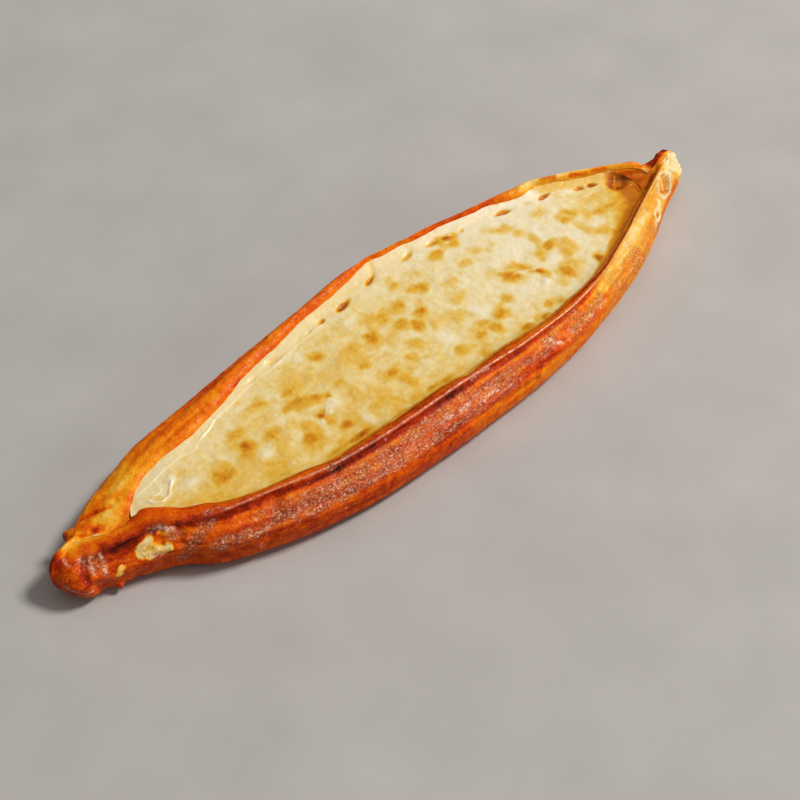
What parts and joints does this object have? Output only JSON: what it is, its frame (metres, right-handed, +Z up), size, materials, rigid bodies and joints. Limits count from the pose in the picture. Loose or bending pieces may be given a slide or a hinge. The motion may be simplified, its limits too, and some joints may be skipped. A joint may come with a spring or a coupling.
{
  "type": "cheese pide",
  "caption": "Boat-shaped flatbread with its long edges folded in over a layer of melted, gold-spotted cheese, one end pinched into a knob and the other into a torn tip.",
  "frame": {"origin": "centre of the footprint, on the surface that the flat underside rests on", "axes": "+X along the boat towards the torn tip, +Y across it towards the low fold, +Z up"},
  "size_m": [0.4074, 0.112, 0.0275],
  "materials": {
    "baked_dough": "browned and oiled bread crust, satin, orange-red to golden",
    "melted_cheese": "melted cheese, cream with golden-brown spots, glossy"
  },
  "bodies": {
    "root": {"crust": "baked_dough", "cheese_filling": "melted_cheese"}
  },
  "joints": []
}
